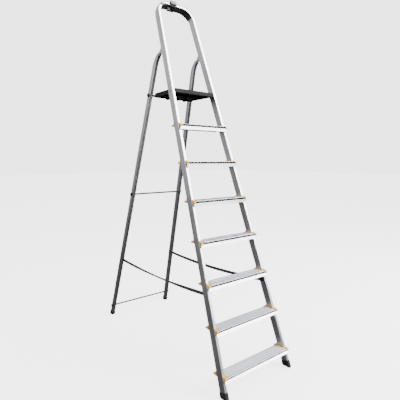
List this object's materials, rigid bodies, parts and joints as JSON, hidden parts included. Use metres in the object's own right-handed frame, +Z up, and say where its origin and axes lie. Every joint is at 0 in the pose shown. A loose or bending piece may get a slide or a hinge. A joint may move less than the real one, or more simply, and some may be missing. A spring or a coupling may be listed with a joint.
{
  "type": "folding step ladder",
  "caption": "Folding aluminium step ladder with a leaning front frame of ribbed treads, a standing platform, a tall hoop with a bucket hook and braced rear legs.",
  "frame": {"origin": "on the floor, in the middle of the open ladder's footprint", "axes": "+Z up, the climbing side faces -Y, +X to the climber's right"},
  "size_m": [0.5402, 1.3551, 2.2505],
  "materials": {
    "aluminium": "satin extruded",
    "zinc_plated_steel": "zinc plated",
    "black_plastic": "moulded, matte",
    "yellow_plastic": "moulded, satin",
    "black_rubber": "moulded",
    "grey_plastic": "moulded, matte",
    "black_webbing": "woven"
  },
  "bodies": {
    "front_frame": {"left_stile": "aluminium", "right_stile": "aluminium", "hoop_joint_sleeve": "aluminium", "hoop_cover": "black_plastic", "front_foot_left": "black_rubber", "front_foot_right": "black_rubber", "tread_1": "aluminium", "tread_2": "aluminium", "tread_3": "aluminium", "tread_4": "aluminium", "tread_5": "aluminium", "tread_6": "aluminium", "tread_7": "aluminium", "end_cap_left_1": "yellow_plastic", "end_cap_left_2": "yellow_plastic", "end_cap_left_3": "yellow_plastic", "end_cap_left_4": "yellow_plastic", "end_cap_left_5": "yellow_plastic", "end_cap_left_6": "yellow_plastic", "end_cap_left_7": "yellow_plastic", "end_cap_right_1": "yellow_plastic", "end_cap_right_2": "yellow_plastic", "end_cap_right_3": "yellow_plastic", "end_cap_right_4": "yellow_plastic", "end_cap_right_5": "yellow_plastic", "end_cap_right_6": "yellow_plastic", "end_cap_right_7": "yellow_plastic", "hinge_bracket_left": "aluminium", "hinge_bracket_right": "aluminium", "hinge_pin_left": "zinc_plated_steel", "hinge_pin_right": "zinc_plated_steel", "platform_pin_left": "zinc_plated_steel", "platform_pin_right": "zinc_plated_steel", "holder_saddle": "black_plastic", "holder_plate": "grey_plastic", "strap_left": "black_webbing", "strap_right": "black_webbing", "strap_stud_stile_left": "black_plastic", "strap_stud_stile_right": "black_plastic"},
    "rear_frame": {"rear_leg_left": "aluminium", "rear_leg_right": "aluminium", "upper_rod": "aluminium", "middle_rod": "aluminium", "lower_rod": "aluminium", "upper_rod_cap_left": "black_plastic", "upper_rod_cap_right": "black_plastic", "middle_rod_cap_left": "black_plastic", "middle_rod_cap_right": "black_plastic", "lower_rod_cap_left": "black_plastic", "lower_rod_cap_right": "black_plastic", "rear_foot_left": "black_rubber", "rear_foot_right": "black_rubber", "leg_knuckle_left": "aluminium", "leg_knuckle_right": "aluminium", "strap_stud_leg_left": "black_plastic", "strap_stud_leg_right": "black_plastic"},
    "platform": {"platform": "black_plastic"},
    "bucket_hook": {"bucket_hook": "black_plastic"}
  },
  "joints": [
    {"name": "rear_fold", "type": "hinge", "parent": "front_frame", "child": "rear_frame", "pos_m": [0, 0.07357, 1.893], "axis": [-1, 0, 0], "range_deg": [0, 35.5], "deforming": ["strap_left", "strap_right"]},
    {"name": "platform_fold", "type": "hinge", "parent": "front_frame", "child": "platform", "pos_m": [0, -0.05797, 1.6398], "axis": [1, 0, 0], "range_deg": [0, 69.4]},
    {"name": "bucket_hook_swing", "type": "hinge", "parent": "front_frame", "child": "bucket_hook", "pos_m": [-0.049, 0.14504, 2.20061], "axis": [1, 0, 0], "range_deg": [-40, 40]}
  ],
  "couplings": [
    {"joint": "platform_fold", "follows": "rear_fold", "ratio": 1.95}
  ]
}
